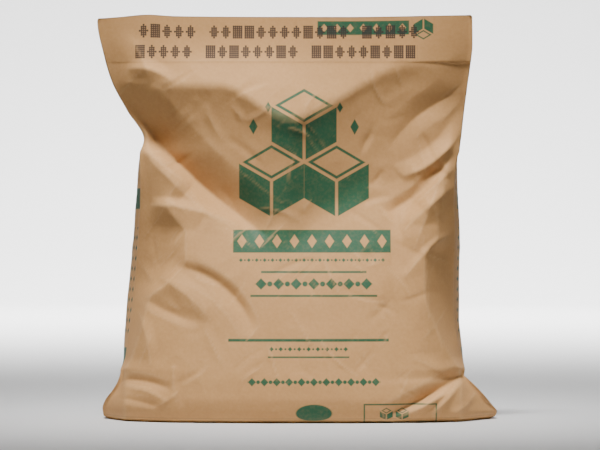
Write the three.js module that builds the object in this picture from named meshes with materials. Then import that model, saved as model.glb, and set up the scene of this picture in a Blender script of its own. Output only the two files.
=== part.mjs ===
// A gusseted kraft paper sack of sugar, standing upright, filled and closed.
// Units are millimetres, +Z is up, the printed front faces -Y and +X is to its right.
// The origin is on the ground, under the middle of the sack's box.
//
// The sack is one closed body made of level loops. Each loop runs across the front panel, round the right
// gusset, back across the back panel and round the left gusset. The loops thin to the glued closure at the
// top, and to the two pinched ears of the folded bottom at the ground.
import * as THREE from "three";

// Sizes of the sack.
const closureHeight = 464; // ground to the folded top edge
const flapHeight = 53; // height of the glued flap that is folded down over the front
const flapStep = 0.5; // how far the pressed edge of the flap stands proud of the front panel
const flapLift = 1.6; // how much further its right end stands out
const flapLiftSpan = [120, 195]; // x over which it lifts
const gussetTuck = 44; // half the side gusset

// Heights of the loops: close together round the bottom edge and at the flap, even in between.
const bottomLevels = [0, 2.5, 6, 10.5, 16, 23, 31, 39, 47, 55, 64];
const bodyStep = 9.5; // spacing of the loops up the body
const flapBottom = closureHeight - flapHeight;
const flapEdge = 1; // height over which the front steps out to the flap
const flapLevels = [flapBottom + 12, flapBottom + 24, flapBottom + 36, closureHeight - 4, closureHeight];

// Points round a loop.
const panelColumns = 42; // across the front panel, and again across the back
const gussetPoints = 6; // spans across one side gusset, so that its middle crease has a point

// Outlines seen from the front: [height, x] of the sack's left and right edge.
const leftOutline = [
  [0, -220], [4, -225.5], [12, -226.5], [22, -223], [34, -214], [45, -207.5], [56, -204.5], [94, -203.4],
  [136, -200.5], [216, -192.5], [262, -188.5], [301, -184.5], [323, -178], [357, -197.5], [391, -215],
  [419, -223], [462, -230.5], [closureHeight, -229],
];
const rightOutline = [
  [0, 222], [3, 228.5], [8, 230.7], [18, 223.5], [32, 211.5], [44, 199.5], [51.6, 191.5], [64, 193],
  [119, 189], [209, 189.8], [254, 187], [296, 185.2], [328, 188.6], [379, 194.5], [410, 198.5],
  [430, 200.5], [462, 200], [closureHeight, 198],
];

// Side profiles: [height, y] down the middle of the filled belly, of the slack sheet above it and of the back.
const bellyFront = [
  [0, -103], [3, -110], [8, -114], [18, -117.5], [32, -119.5], [50, -119], [80, -115], [110, -110.5],
  [150, -104], [200, -94], [240, -81], [280, -62], [320, -41], [370, -10], [closureHeight, 30],
];
const apronFront = [
  [300, -108], [345, -90], [380, -73], [395, -65], [flapBottom, -57], [428, -51], [445, -47.8],
  [closureHeight, -46.5],
];
const backProfile = [
  [0, 78], [3, 88], [8, 97], [18, 106], [38, 115], [70, 120], [110, 121.5], [150, 120.5], [200, 115.5],
  [250, 104.5], [300, 83], [330, 54], [360, 14], [385, -19], [flapBottom, -46.5], [428, -44.5], [445, -43.4],
  [closureHeight, -42.1],
];

// The creases between the panels and the gussets: [height, y].
const frontCrease = [
  [0, -3], [8, -5], [20, -12], [32, -18], [52, -22], [80, -22], [110, -18], [150, -12], [200, -18],
  [240, -28], [280, -33], [305, -30], [325, -25], [350, -25], [380, -31], [flapBottom, -38], [440, -43.5],
  [closureHeight, -46.5],
];
const backCrease = [
  [0, 3], [8, 5], [20, 24], [32, 44], [52, 66], [90, 77], [150, 79], [210, 74], [262, 61], [323, 34],
  [350, 15], [380, -6], [flapBottom, -27], [440, -37.4], [closureHeight, -42.1],
];

// How far the gusset stands out from its creases; where it is negative, it is tucked in. The closure shuts it.
const gussetBulge = [
  [0, 0], [5, -2], [14, -14], [28, -22], [42, -14], [56, -2], [75, 5], [140, 9], [240, 8], [290, 4], [323, -5],
  [350, -22], [375, -0.7 * gussetTuck], [395, -0.4 * gussetTuck], [flapBottom, -4], [420, 0], [closureHeight, 0],
];

// Height of the top edge above or below its level, by x: the left end of the closure is bent.
const topEdge = [[-231, -2.5], [-205, -0.5], [-172, 2.2], [-140, 0.4], [-40, -0.4], [60, -0.5], [150, 0.8], [200, 1.6]];

// Fullness of the panels across their width: the powers of a superellipse, and of the slack sheet.
const bellyFlatness = 3;
const bellyRounding = 2;
const sheetFlatness = 4;

// Where the filled front breaks: outside these lines it runs straight back to the creases. [height, x]
const leftBreak = [
  [60, -198], [100, -188], [140, -178], [162, -152], [186, -134], [214, -134], [248, -157], [284, -138],
  [311, -172], [340, -178],
];
const rightBreak = [
  [60, 186], [100, 168], [150, 152], [190, 152], [212, 168], [236, 166], [263, 150], [290, 174], [330, 186],
];
const outmostBreak = 0.98; // share of the panel's half width that a break stays inside

// The slack sheet hangs from the closure like an apron, down to a ridge that sags near the middle, and leans
// back under it, less and less over the recess. The filled belly reaches lower in the middle, by the dip.
const ridgeHeight = 343;
const ridgeLeftRise = 41;
const ridgeLeftSpan = [-2, -92]; // x over which the ridge rises to the left
const ridgeRightRise = 65;
const ridgeRightSpan = [-25, 140];
const ridgeBlend = 6;
const closureFront = -49; // y of the pressed closure, from where the sheet hangs out
const rightShare = 0.5; // how far its right half hangs out, as a share of the left
const rightShareSpan = [-60, 90];
const apronLean = 0.36;
const apronRecess = 60;
const apronStart = 150; // no slack sheet below this height
const apronBlend = 12; // rounding of the crease between the sheet and the belly
const bellyDip = 54;
const dipLeftSpan = [-190, -30]; // x over which the dip sets in
const dipRightSpan = [200, 105];
const dipHeights = [0, 190];
const joinHeights = [360, flapBottom]; // the back follows the front sheet more and more between these heights

// The triangle of paper at each bottom corner, a plane y = at + x * across + z * up.
const rightEar = { at: -106.5, across: 0.463, up: -0.85 };
const leftEar = { at: -122, across: -0.49, up: -0.86 };
const backEarShare = 0.95; // the same facets on the back, a little less deep
const earBlend = 3; // rounding of the crease between the belly and an ear
const earHeight = 60;
const earDepth = 1.6; // an ear's facet starts no further forward than the crease times this

// A fold is laid from one point [x, z] to another. Its crest stands out by rise, or sinks where that is
// negative, and dies away over the widths above and below it. Bend bows the crest to the left of its direction,
// as a share of its length, and peak says where along it the fold is highest. Sharp is the power of its flanks
// and taper that of its ends.
const leastWidth = 13; // of a flank, so that a loop and a column fall on each
const fold = (from, to, rise, above, below, bend = 0, peak = 0.5, sharp = 1.4, taper = 0.9) => ({
  from, to, rise, above: Math.max(above, leastWidth), below: Math.max(below, leastWidth), bend, peak, sharp, taper,
});
const frontFolds = [
  // the long crease from the left waist down to the middle, and the hollow that leads into it
  fold([-206, 374], [-32, 210], -19, 42, 20, -0.045, 0.5, 1.3, 0.7),
  fold([-216, 400], [-150, 340], -4, 24, 26, -0.05),
  fold([-206, 458], [-168, 386], 5, 16, 22, 0.05),
  fold([-200, 404], [-140, 386], 5, 12, 14, 0.12),
  // the fan of folds from the right waist
  fold([186, 378], [104, 312], -5, 22, 18, -0.08, 0.4),
  fold([189, 334], [118, 280], 9, 18, 12, 0.1, 0.4, 1.3, 0.6),
  fold([168, 292], [100, 238], -8, 12, 20, 0.06, 0.35, 1.3, 0.6),
  fold([196, 306], [136, 250], 9, 12, 40, 0, 0.5, 1.1, 0.7),
  fold([186, 272], [118, 214], 6, 14, 18, -0.04, 0.4),
  // the buckled left corner of the belly, and the hollows beside it
  fold([-188, 322], [-124, 268], 11, 12, 46, 0, 0.55, 1.1, 0.7),
  fold([-170, 248], [-64, 222], 6, 10, 24, 0.06, 0.2, 1.3, 0.8),
  fold([-138, 178], [-50, 104], -8, 12, 20, 0.14, 0.55, 1.3, 0.6),
  fold([-158, 166], [-98, 116], 6, 18, 16, 0.05, 0.45, 1.2, 0.7),
  fold([-186, 146], [-108, 112], -4, 14, 9, -0.04, 0.5, 1.3, 0.8),
  fold([-184, 128], [-168, 62], 5, 12, 18, 0.05, 0.4),
  // the slack right side
  fold([166, 284], [132, 196], 10, 34, 40, 0, 0.5, 1.2, 0.8),
  fold([178, 216], [120, 162], 4, 8, 14, -0.06, 0.35, 1.3, 0.8),
  fold([140, 224], [146, 80], 7, 44, 40, 0.04, 0.4, 1.2, 0.8),
  // the creases that run out of the bottom corners
  fold([194, 56], [98, 8], -11, 16, 8, 0.02, 0.35, 1.3, 0.7),
  fold([-208, 45], [-138, 34], -5, 9, 7, 0.1, 0.3),
  fold([-196, 38], [-146, 22], 3, 6, 9, 0.1),
];
const backFolds = [
  fold([186, 322], [40, 214], -11, 34, 16, 0.04, 0.35),
  fold([-180, 322], [-52, 236], -9, 30, 16, -0.05, 0.4),
  fold([190, 402], [70, 330], -6, 20, 24, 0.06, 0.4),
  fold([-212, 396], [-80, 322], -6, 20, 26, -0.06, 0.4),
  fold([170, 240], [96, 150], 6, 18, 18, 0.08, 0.4),
  fold([-176, 220], [-110, 130], 6, 18, 18, -0.08, 0.4),
  fold([188, 50], [96, 18], -6, 12, 8, 0.1, 0.35),
  fold([-200, 48], [-104, 20], -6, 12, 8, -0.1, 0.35),
];
const calmEdge = 0.3; // share of the folds that is left at a panel's creases
const calmShares = [1, 0.92]; // shares of the panel's width over which they fade
const calmGround = [0, 8]; // heights over which they set in at the ground
const calmTop = [closureHeight - 12, flapBottom - 12]; // and between which they end at the closure
const columnEvenness = 0.55; // 1 where the columns are evenly spaced

const clamp = (value, low, high) => Math.min(high, Math.max(low, value));
const mix = (a, b, share) => a + (b - a) * share;
const smoothStep = ([a, b], value) => {
  const share = clamp((value - a) / (b - a), 0, 1);
  return share * share * (3 - 2 * share);
};

// A smooth curve through points [at, value] that never swings past them: cubic pieces whose slopes are the
// harmonic means of the slopes on each side.
function curveThrough(points) {
  const slopes = points.slice(1).map(([at, value], i) => (value - points[i][1]) / (at - points[i][0]));
  const tangents = points.map((point, i) => {
    if (i === 0) return slopes[0];
    if (i === points.length - 1) return slopes[i - 1];
    const product = slopes[i - 1] * slopes[i];
    return product > 0 ? (2 * product) / (slopes[i - 1] + slopes[i]) : 0;
  });
  return (at) => {
    const inside = clamp(at, points[0][0], points[points.length - 1][0]);
    let i = 0;
    while (i < points.length - 2 && inside > points[i + 1][0]) i += 1;
    const span = points[i + 1][0] - points[i][0];
    const t = (inside - points[i][0]) / span;
    const rise = t * t * (3 - 2 * t);
    return (
      mix(points[i][1], points[i + 1][1], rise) +
      span * (t * (1 - t) * (1 - t) * tangents[i] - t * t * (1 - t) * tangents[i + 1])
    );
  };
}

const leftAt = curveThrough(leftOutline);
const rightAt = curveThrough(rightOutline);
const bellyAt = curveThrough(bellyFront);
const apronAt = curveThrough(apronFront);
const backAt = curveThrough(backProfile);
const frontCreaseAt = curveThrough(frontCrease);
const backCreaseAt = curveThrough(backCrease);
const bulgeAt = curveThrough(gussetBulge);
const topEdgeAt = curveThrough(topEdge);
const leftBreakAt = curveThrough(leftBreak);
const rightBreakAt = curveThrough(rightBreak);

// The lesser of two values, with the corner between them rounded over the width blend.
function softLeast(a, b, blend) {
  const share = clamp(0.5 + (b - a) / (2 * blend), 0, 1);
  return mix(b, a, share) - blend * share * (1 - share);
}

// How far the folds lift a point of a panel at x and height z.
function liftOf(folds, x, z) {
  let lift = 0;
  for (const { from, to, rise, above, below, bend, peak, sharp, taper } of folds) {
    const along = [to[0] - from[0], to[1] - from[1]];
    const length = Math.hypot(along[0], along[1]);
    const toPoint = [x - from[0], z - from[1]];
    const share = (toPoint[0] * along[0] + toPoint[1] * along[1]) / length ** 2;
    if (share <= 0 || share >= 1) continue;
    const bow = bend * length * 4 * share * (1 - share);
    const side = (toPoint[1] * along[0] - toPoint[0] * along[1]) / length - bow;
    const upper = side * Math.sign(along[0]) > 0;
    const reach = Math.abs(side) / (upper ? above : below);
    if (reach >= 1) continue;
    const early = share < peak ? share / peak : (1 - share) / (1 - peak);
    lift += rise * (1 - reach) ** sharp * Math.sin((early * Math.PI) / 2) ** taper;
  }
  return lift;
}

// The share of the folds that shows: all inside a panel, less at its creases, none at the ground and closure.
function foldShare(share, z) {
  const inside = mix(calmEdge, 1, smoothStep(calmShares, Math.abs(share)));
  return inside * smoothStep(calmGround, z) * smoothStep(calmTop, z);
}

// Across a panel, 1 at its middle and 0 at its creases: the filled belly and the slack sheet.
const fullness = (share) => (1 - Math.abs(share) ** bellyFlatness) ** (1 / bellyRounding);
const sheetFullness = (share) => 1 - Math.abs(share) ** sheetFlatness;

// The fullness of the front: outside each break it falls evenly to nought at the crease.
function brokenFullness(share, z) {
  const side = share < 0 ? -1 : 1;
  const left = leftAt(z);
  const breakX = side < 0 ? leftBreakAt(z) : rightBreakAt(z);
  const start = Math.min(side * ((2 * (breakX - left)) / (rightAt(z) - left) - 1), outmostBreak);
  const reach = Math.abs(share);
  return reach > start ? (fullness(start) * (1 - reach)) / (1 - start) : fullness(share);
}

// y of the slack sheet in the middle of the panel, were it as wide as that: out to the ridge and in under it.
function apronY(share, x, z) {
  const left = ridgeLeftRise * smoothStep(ridgeLeftSpan, x);
  const right = ridgeRightRise * smoothStep(ridgeRightSpan, x);
  const ridge = ridgeHeight + left + right;
  const above = -softLeast(-z, -ridge, ridgeBlend);
  const drop = above - z;
  const hung = closureFront + (apronAt(above) - closureFront) * mix(1, rightShare, smoothStep(rightShareSpan, x));
  return hung + (apronLean * sheetFullness(share) * drop) / (1 + drop / apronRecess);
}

// How much lower the belly's profile lies: most in the middle, nought at the ground.
const dipAt = (x, z) =>
  bellyDip * smoothStep(dipLeftSpan, x) * smoothStep(dipRightSpan, x) * smoothStep(dipHeights, z);

// y of the facet of a bottom corner.
function earY(x, z) {
  const ear = x > 0 ? rightEar : leftEar;
  return ear.at + ear.across * x + ear.up * z;
}

// y of the front panel at a share of its width, at x and height z.
function frontY(share, x, z) {
  const crease = frontCreaseAt(z);
  let y = crease + (bellyAt(z + dipAt(x, z)) - crease) * brokenFullness(share, z);
  if (z > apronStart) y = softLeast(y, crease + (apronY(share, x, z) - crease) * sheetFullness(share), apronBlend);
  if (z < earHeight) y = softLeast(y, Math.max(earY(x, z), crease * earDepth), earBlend);
  y -= liftOf(frontFolds, x, z) * foldShare(share, z);
  const step = flapStep + flapLift * smoothStep(flapLiftSpan, x);
  return y - step * smoothStep([flapBottom, flapBottom + flapEdge], z);
}

// y of the back panel, which follows the front sheet up at the closure.
function backY(share, x, z) {
  const crease = backCreaseAt(z);
  const joined = smoothStep(joinHeights, z);
  let y = crease + (backAt(z) - crease) * mix(fullness(share), sheetFullness(share), joined);
  if (z < earHeight) y = -softLeast(-y, Math.max(backEarShare * earY(x, z), -crease * earDepth), earBlend);
  return y + liftOf(backFolds, x, z) * foldShare(share, z);
}

// Shares across a panel, from -1 to 1, a little closer together towards the creases.
const panelShares = Array.from({ length: panelColumns + 1 }, (unused, i) => {
  const even = (2 * i) / panelColumns - 1;
  return mix(Math.sin((even * Math.PI) / 2), even, columnEvenness);
});

// The points across one gusset, without its creases, from the one at y from to the one at y to.
function gussetRow(x, from, to, z, outwards) {
  const bulge = bulgeAt(z);
  const power = bulge > 0 ? 2 : 1;
  return Array.from({ length: gussetPoints - 1 }, (unused, i) => {
    const across = (2 * (i + 1)) / gussetPoints - 1;
    return [x + outwards * bulge * (1 - Math.abs(across) ** power), mix(from, to, (across + 1) / 2), z];
  });
}

// One level loop of points, starting at the left crease of the front panel.
function loopAt(z) {
  const inset = Math.max(bulgeAt(z), 0);
  const left = leftAt(z) + inset;
  const right = rightAt(z) - inset;
  const xAt = (share) => mix(left, right, (share + 1) / 2);
  const front = panelShares.map((share) => [xAt(share), frontY(share, xAt(share), z), z]);
  const back = panelShares.map((share) => [xAt(share), backY(share, xAt(share), z), z]).reverse();
  const last = panelColumns;
  const rightGusset = gussetRow(right, front[last][1], back[0][1], z, 1);
  const leftGusset = gussetRow(left, back[last][1], front[0][1], z, -1);
  const lift = smoothStep([flapBottom, closureHeight], z);
  return [...front, ...rightGusset, ...back, ...leftGusset].map(([x, y]) => [x, y, z + lift * topEdgeAt(x)]);
}

// All heights, from the ground up.
function levels() {
  const first = bottomLevels[bottomLevels.length - 1];
  const steps = Math.round((flapBottom - first) / bodyStep);
  const body = Array.from({ length: steps }, (unused, i) => mix(first, flapBottom, (i + 1) / steps));
  return [...bottomLevels, ...body, flapBottom + flapEdge, ...flapLevels];
}

// The sack: its loops joined by quads, and closed at both ends by strips from the front to the back.
function sackGeometry() {
  const loops = levels().map(loopAt);
  const around = loops[0].length;
  const triangles = [];
  const quad = (a, b, c, d) => triangles.push(a, b, c, a, c, d);
  loops.slice(1).forEach((loop, level) => {
    for (let i = 0; i < around; i += 1) {
      const next = (i + 1) % around;
      const low = level * around;
      quad(low + i, low + next, low + around + next, low + around + i);
    }
  });
  const backStart = panelColumns + gussetPoints;
  const closeEnd = (level, facingUp) => {
    const base = level * around;
    const face = (...corners) => triangles.push(...(facingUp ? corners : [...corners].reverse()));
    for (let i = 0; i < panelColumns; i += 1) {
      const across = base + backStart + panelColumns - i;
      face(base + i, base + i + 1, across - 1);
      face(base + i, across - 1, across);
    }
    for (let i = 1; i < gussetPoints; i += 1) {
      face(base + panelColumns, base + panelColumns + i, base + panelColumns + i + 1);
      const left = base + backStart + panelColumns;
      face(left, left + i, base + ((backStart + panelColumns + i + 1) % around));
    }
  };
  closeEnd(0, false);
  closeEnd(loops.length - 1, true);
  const geometry = new THREE.BufferGeometry();
  geometry.setAttribute("position", new THREE.Float32BufferAttribute(loops.flat(2), 3));
  geometry.setIndex(triangles);
  geometry.computeVertexNormals();
  return geometry;
}

const kraftPaper = new THREE.MeshStandardMaterial({ color: 0xc4a17b, roughness: 0.85, metalness: 0 });

const sack = new THREE.Mesh(sackGeometry(), kraftPaper);
sack.name = "sack";

const sugarSack = new THREE.Group();
sugarSack.add(sack);

export default sugarSack;
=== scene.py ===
import math
from collections import namedtuple

import bpy
import numpy as np
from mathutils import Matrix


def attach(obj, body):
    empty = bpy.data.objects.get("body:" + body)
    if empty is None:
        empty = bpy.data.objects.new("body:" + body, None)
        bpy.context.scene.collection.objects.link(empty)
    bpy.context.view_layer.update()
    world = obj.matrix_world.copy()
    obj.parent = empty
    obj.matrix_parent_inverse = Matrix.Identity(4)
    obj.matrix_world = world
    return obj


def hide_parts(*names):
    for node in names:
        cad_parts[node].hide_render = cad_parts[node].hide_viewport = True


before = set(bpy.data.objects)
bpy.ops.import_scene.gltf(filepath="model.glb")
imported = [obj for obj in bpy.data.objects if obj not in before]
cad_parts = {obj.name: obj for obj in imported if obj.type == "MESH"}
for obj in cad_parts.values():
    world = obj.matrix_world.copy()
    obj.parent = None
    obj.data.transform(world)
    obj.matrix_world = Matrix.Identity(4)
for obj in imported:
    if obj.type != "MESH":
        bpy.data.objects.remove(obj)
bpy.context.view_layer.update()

# The sack's looks: creased kraft paper with plain green and dark grey printed shapes.
# Sizes of the paper are in millimetres, as on the sack itself, and become metres in the meshes.

# The sack's main sizes
CLOSURE_HEIGHT = 464.0
FLAP_HEIGHT = 53.0
FLAP_BOTTOM = CLOSURE_HEIGHT - FLAP_HEIGHT
FLAP_STEP = 0.2
FLAP_LIFT = 1.6
FLAP_LIFT_SPAN = (120, 195)
FLAP_EDGE = 1.0
GUSSET_TUCK = 44.0
MM = 0.001

# Places along the flat paper: the middle of a gusset and of the back, where the foot curves in, and its fold
SIDE_U = 400.0
BACK_U = 800.0
BELLY_START = 45.0
FOOT_FOLD = 4.0

# The fine grid: columns stand closer together at the creases, and rows at the ground and the flap's edge
PANEL_COLUMNS = 184
COLUMN_CROWDING = 0.25
GUSSET_COLUMNS = 26
ALL_ROWS = 232
FOOT_TOP = 64
FOOT_ROWS = 45
FOOT_CROWDING = 1.35
EDGE_ROWS = (0, 0.35, 0.7, FLAP_EDGE)
FLAP_ROWS = 18
FLAP_ROWS_START = 3
FLAP_ROWS_END = 5
TOP_ROWS = (3.6, 2.4, 1.4, 0.6, 0)

# Outlines seen from the front: (height, x)
LEFT_OUTLINE = (
    (0, -220), (4, -225.5), (12, -226.5), (22, -223), (34, -214), (45, -207.5), (56, -204.5), (94, -203.4),
    (136, -200.5), (216, -192.5), (262, -188.5), (301, -184.5), (323, -178), (357, -197.5), (391, -215),
    (419, -223), (462, -230.5), (CLOSURE_HEIGHT, -229),
)
RIGHT_OUTLINE = (
    (0, 222), (3, 228.5), (8, 230.7), (18, 223.5), (32, 211.5), (44, 199.5), (51.6, 191.5), (64, 193),
    (119, 189), (209, 189.8), (254, 187), (296, 185.2), (328, 188.6), (379, 194.5), (410, 198.5),
    (430, 200.5), (462, 200), (CLOSURE_HEIGHT, 198),
)

# Side profiles down the middle of the panels: (height, y)
BELLY_FRONT = (
    (0, -103), (3, -110), (8, -114), (18, -117.5), (32, -119.5), (50, -119), (80, -115), (110, -110.5),
    (150, -104), (200, -94), (240, -81), (280, -62), (320, -41), (370, -10), (CLOSURE_HEIGHT, 30),
)
APRON_FRONT = (
    (300, -108), (345, -90), (380, -73), (395, -65), (FLAP_BOTTOM, -57), (428, -51), (445, -47.8),
    (CLOSURE_HEIGHT, -46.5),
)
BACK_PROFILE = (
    (0, 78), (3, 88), (8, 97), (18, 106), (38, 115), (70, 120), (110, 121.5), (150, 120.5), (200, 115.5),
    (250, 104.5), (300, 83), (330, 54), (360, 14), (385, -19), (FLAP_BOTTOM, -46.5), (428, -44.5),
    (445, -43.4), (CLOSURE_HEIGHT, -42.1),
)
FRONT_CREASE = (
    (0, -3), (8, -5), (20, -12), (32, -18), (52, -22), (80, -22), (110, -18), (150, -12), (200, -18),
    (240, -28), (280, -33), (305, -30), (325, -25), (350, -25), (380, -31), (FLAP_BOTTOM, -38), (440, -43.5),
    (CLOSURE_HEIGHT, -46.5),
)
BACK_CREASE = (
    (0, 3), (8, 5), (20, 24), (32, 44), (52, 66), (90, 77), (150, 79), (210, 74), (262, 61), (323, 34),
    (350, 15), (380, -6), (FLAP_BOTTOM, -27), (440, -37.4), (CLOSURE_HEIGHT, -42.1),
)
GUSSET_BULGE = (
    (0, 0), (5, -2), (14, -14), (28, -22), (42, -14), (56, -2), (75, 5), (140, 9), (240, 8), (290, 4),
    (323, -5), (350, -22), (375, -0.7 * GUSSET_TUCK), (395, -0.4 * GUSSET_TUCK), (FLAP_BOTTOM, -4), (420, 0),
    (CLOSURE_HEIGHT, 0),
)
TOP_EDGE = (
    (-231, -2.5), (-205, -0.5), (-172, 2.2), (-140, 0.4), (-40, -0.4), (60, -0.5), (150, 0.8), (200, 1.6),
)
BELLY_FLATNESS = 3.0
BELLY_ROUNDING = 2.0
SHEET_FLATNESS = 4
OUTMOST_BREAK = 0.98
BACK_JOIN_START = 360

# Where the filled front breaks towards its left and right creases, seen from the front: (height, x)
LEFT_BREAK = (
    (60, -198), (100, -188), (140, -178), (162, -152), (186, -134), (214, -134), (248, -157), (284, -138),
    (311, -172), (340, -178),
)
RIGHT_BREAK = (
    (60, 186), (100, 168), (150, 152), (190, 152), (212, 168), (236, 166), (263, 150), (290, 174), (330, 186),
)

# The slack paper hangs from the closure like an apron, down to a ridge that sags near the middle, and leans
# back under it. The filled belly reaches lower in the middle than at the sides.
RIDGE_HEIGHT = 343.0
RIDGE_LEFT_RISE = 41.0
RIDGE_LEFT_SPAN = (-2, -92)
RIDGE_RIGHT_RISE = 65.0
RIDGE_RIGHT_SPAN = (-25, 140)
RIDGE_BLEND = 6.0
APRON_LEAN = 0.36
APRON_RECESS = 60.0
APRON_RIGHT_SHARE = 0.5
APRON_RIGHT_SPAN = (-60, 90)
APRON_HEIGHTS = (150, 200)
APRON_BLEND = 12.0
CLOSURE_FRONT = -49.0
BELLY_DIP = 54.0
DIP_LEFT_SPAN = (-190, -30)
DIP_RIGHT_SPAN = (105, 200)
DIP_HEIGHTS = (0, 190)

# The pinched ears are planes y = at + across * x + up * z
Ear = namedtuple("Ear", "at across up")
RIGHT_EAR = Ear(-106.5, 0.463, -0.85)
LEFT_EAR = Ear(-122, -0.49, -0.86)
BACK_EAR_SHARE = 0.95
EAR_BLEND = 3.0
EAR_HEIGHT = 60.0
EAR_DEPTH = 1.6

# A fold runs from one (x, height) to another. Its crest stands out by rise, or sinks where that is negative,
# and fades over the widths above and below it. bend bows it, peak is the share of its length at which it is
# highest, sharp is the power of its flanks, and taper the power with which it rises from its ends.
Fold = namedtuple("Fold", "start end rise above below bend peak sharp taper", defaults=(0.0, 0.5, 1.4, 0.9))
FRONT_FOLDS = (
    # The long crease from the left waist down to the middle, and the hollow that leads into it
    Fold((-206, 374), (-32, 210), -19, 42, 20, -0.045, 0.5, 1.3, 0.7),
    Fold((-216, 400), (-150, 340), -1, 24, 26, -0.05, 0.5),
    Fold((-206, 458), (-168, 386), 5, 16, 22, 0.05, 0.5),
    Fold((-200, 404), (-140, 386), 5, 12, 14, 0.12, 0.5),
    # The fan of folds from the right waist
    Fold((186, 378), (104, 312), -5, 22, 18, -0.08, 0.4),
    Fold((189, 334), (118, 280), 9, 18, 12, 0.1, 0.4, 1.3, 0.6),
    Fold((168, 292), (100, 238), -8, 12, 20, 0.06, 0.35, 1.3, 0.6),
    Fold((196, 306), (136, 250), 9, 12, 40, 0.0, 0.5, 1.1, 0.7),
    Fold((186, 272), (118, 214), 6, 14, 18, -0.04, 0.4),
    # The buckled left corner of the belly, and the hollows beside it
    Fold((-188, 322), (-124, 268), 11, 12, 46, 0.0, 0.55, 1.1, 0.7),
    Fold((-170, 248), (-64, 222), 6, 10, 24, 0.06, 0.2, 1.3, 0.8),
    Fold((-138, 178), (-50, 104), -8, 12, 20, 0.14, 0.55, 1.3, 0.6),
    Fold((-158, 166), (-98, 116), 6, 18, 16, 0.05, 0.45, 1.2, 0.7),
    Fold((-186, 146), (-108, 112), -4, 14, 9, -0.04, 0.5, 1.3, 0.8),
    Fold((-184, 128), (-168, 62), 5, 12, 18, 0.05, 0.4),
    # The slack right side
    Fold((166, 284), (132, 196), 10, 34, 40, 0.0, 0.5, 1.2, 0.8),
    Fold((178, 216), (120, 162), 4, 8, 14, -0.06, 0.35, 1.3, 0.8),
    Fold((140, 224), (146, 80), 7, 44, 40, 0.04, 0.4, 1.2, 0.8),
    # The creases that run out of the bottom corners
    Fold((194, 56), (98, 8), -11, 16, 8, 0.02, 0.35, 1.3, 0.7),
    Fold((186, 47), (150, 8), 5, 6, 7, 0.04, 0.5),
    Fold((176, 44), (128, 12), 4, 6, 7, 0.05, 0.5),
    Fold((206, 36), (176, 10), 3, 7, 7, 0.1, 0.5),
    Fold((-208, 45), (-138, 34), -5, 9, 7, 0.1, 0.3),
    Fold((-196, 38), (-146, 22), 3, 6, 9, 0.1, 0.5),
    Fold((-141, 66), (-141, 28), 1, 3, 5, 0.0, 0.5, 1.0, 0.4),
    Fold((-214, 26), (-150, 14), -2.5, 7, 6, 0.06, 0.5),
)
BACK_FOLDS = (
    Fold((186, 322), (40, 214), -11, 34, 16, 0.04, 0.35),
    Fold((-180, 322), (-52, 236), -9, 30, 16, -0.05, 0.4),
    Fold((190, 402), (70, 330), -6, 20, 24, 0.06, 0.4),
    Fold((-212, 396), (-80, 322), -6, 20, 26, -0.06, 0.4),
    Fold((170, 240), (96, 150), 6, 18, 18, 0.08, 0.4),
    Fold((-176, 220), (-110, 130), 6, 18, 18, -0.08, 0.4),
    Fold((188, 50), (96, 18), -6, 12, 8, 0.1, 0.35),
    Fold((-200, 48), (-104, 20), -6, 12, 8, -0.1, 0.35),
)


def smooth_step(low, high, value):
    """Rises from 0 at low to 1 at high by 3t^2 - 2t^3."""
    share = np.clip((value - low) / (high - low), 0, 1)
    return share * share * (3 - 2 * share)


def curve_through(points):
    """A cubic through points (at, value) whose slope at each is the harmonic mean of the slopes beside it."""
    at, value = np.array(points, float).T
    slopes = np.diff(value) / np.diff(at)
    product = slopes[:-1] * slopes[1:]
    total = slopes[:-1] + slopes[1:]
    inner = np.where(product > 0, 2 * product / np.where(product > 0, total, 1), 0)
    tangents = np.concatenate((slopes[:1], inner, slopes[-1:]))

    def curve(where):
        held = np.clip(where, at[0], at[-1])
        i = np.clip(np.searchsorted(at, held, side="right") - 1, 0, len(at) - 2)
        span = at[i + 1] - at[i]
        t = (held - at[i]) / span
        rise = (value[i + 1] - value[i]) * t * t * (3 - 2 * t)
        return value[i] + rise + span * (t * (1 - t) ** 2 * tangents[i] - t * t * (1 - t) * tangents[i + 1])

    return curve


left_at = curve_through(LEFT_OUTLINE)
right_at = curve_through(RIGHT_OUTLINE)
belly_at = curve_through(BELLY_FRONT)
apron_at = curve_through(APRON_FRONT)
back_at = curve_through(BACK_PROFILE)
front_crease_at = curve_through(FRONT_CREASE)
back_crease_at = curve_through(BACK_CREASE)
bulge_at = curve_through(GUSSET_BULGE)
top_edge_at = curve_through(TOP_EDGE)
left_break_at = curve_through(LEFT_BREAK)
right_break_at = curve_through(RIGHT_BREAK)


def soft_least(a, b, blend):
    """The lesser of two values, with their corner rounded by a parabola over the width blend."""
    share = np.clip(0.5 + (b - a) / (2 * blend), 0, 1)
    return b + (a - b) * share - blend * share * (1 - share)


def lift_of(folds, x, z):
    """The sum of the folds at (x, z): each is its rise times a sine along it and a power across it."""
    lift = np.zeros_like(x)
    for fold in folds:
        along = np.subtract(fold.end, fold.start)
        length = math.hypot(*along)
        to_x = x - fold.start[0]
        to_z = z - fold.start[1]
        share = np.clip((to_x * along[0] + to_z * along[1]) / length**2, 0, 1)
        bow = fold.bend * length * 4 * share * (1 - share)
        side = (to_z * along[0] - to_x * along[1]) / length - bow
        width = np.where(side * np.sign(along[0]) > 0, fold.above, fold.below)
        flank = np.clip(1 - np.abs(side) / width, 0, 1) ** fold.sharp
        reach = np.where(share < fold.peak, share / fold.peak, (1 - share) / (1 - fold.peak))
        lift += fold.rise * flank * np.sin(reach * math.pi / 2) ** fold.taper
    return lift


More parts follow.
